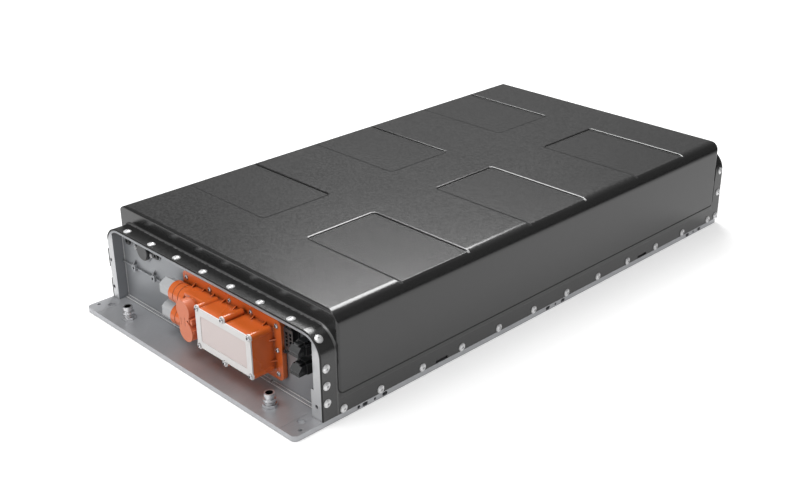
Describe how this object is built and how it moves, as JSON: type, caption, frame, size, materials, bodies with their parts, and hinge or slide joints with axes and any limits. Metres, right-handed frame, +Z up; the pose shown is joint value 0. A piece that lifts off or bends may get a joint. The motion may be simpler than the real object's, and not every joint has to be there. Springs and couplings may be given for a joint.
{
  "type": "traction battery",
  "caption": "Flat vehicle battery pack: coolant-cooled base plate, deep-drawn hood over cell modules, orange high-voltage box, service plug and signal connectors at one end.",
  "frame": {"origin": "middle of the base plate's underside", "axes": "+X across the pack, to the right when seen from the connector end; +Y along the pack, away from the connector end; +Z up"},
  "size_m": [0.7586, 1.46, 0.234],
  "materials": {
    "plate_aluminium": "satin rolled aluminium",
    "sheet_aluminium": "plain sheet",
    "nipple_aluminium": "turned",
    "frame_aluminium": "cast, blasted",
    "rail_aluminium": "extruded",
    "hood_coating": "fine-grained dark grey coating",
    "seal_rubber": "matte",
    "screw_steel": "bright plated",
    "black_plastic": "moulded",
    "orange_housing": "glossy moulded",
    "cover_plate": "satin light plate",
    "gland_grey": "moulded",
    "plug_orange": "moulded",
    "copper": "bare copper bar",
    "contactor_plastic": "moulded",
    "fuse_ceramic": "glazed ceramic body",
    "controller_housing": "cast",
    "cell_can": "blue film on aluminium can",
    "module_aluminium": "extruded",
    "tray_plastic": "moulded",
    "busbar_aluminium": "stamped",
    "bolt_steel": "zinc plated",
    "thermal_pad": "soft gap filler"
  },
  "bodies": {
    "root": {"base_plate": "plate_aluminium", "channel_cover": "sheet_aluminium", "coolant_inlet": "nipple_aluminium", "coolant_outlet": "nipple_aluminium", "front_frame": "frame_aluminium", "rear_frame": "frame_aluminium", "side_rail_left": "rail_aluminium", "side_rail_right": "rail_aluminium", "hood": "hood_coating", "hood_seal": "seal_rubber", "side_screws": "screw_steel", "end_flange_screws": "screw_steel", "vent_cap": "black_plastic", "vent_screws": "screw_steel", "blanking_plugs": "black_plastic", "hv_housing": "orange_housing", "hv_seal": "seal_rubber", "hv_cover": "cover_plate", "hv_cover_screws": "screw_steel", "hv_flange_screws": "screw_steel", "gland_nut_upper": "gland_grey", "gland_nut_lower": "gland_grey", "gland_seals": "seal_rubber", "service_plug": "plug_orange", "service_contacts": "copper", "main_contactors": "contactor_plastic", "main_fuse": "fuse_ceramic", "hv_busbars": "copper", "signal_header": "black_plastic", "signal_plug_upper": "black_plastic", "signal_plug_lower": "black_plastic", "signal_frames": "black_plastic", "test_port_cap": "black_plastic", "battery_controller": "controller_housing", "controller_screws": "screw_steel", "cells_1": "cell_can", "cells_2": "cell_can", "cells_3": "cell_can", "cells_4": "cell_can", "cells_5": "cell_can", "cells_6": "cell_can", "module_frame_1": "module_aluminium", "module_frame_2": "module_aluminium", "module_frame_3": "module_aluminium", "module_frame_4": "module_aluminium", "module_frame_5": "module_aluminium", "module_frame_6": "module_aluminium", "module_tray_1": "tray_plastic", "module_tray_2": "tray_plastic", "module_tray_3": "tray_plastic", "module_tray_4": "tray_plastic", "module_tray_5": "tray_plastic", "module_tray_6": "tray_plastic", "cell_busbars": "busbar_aluminium", "module_links": "copper", "module_bolts": "bolt_steel", "thermal_pads": "thermal_pad"}
  },
  "joints": []
}
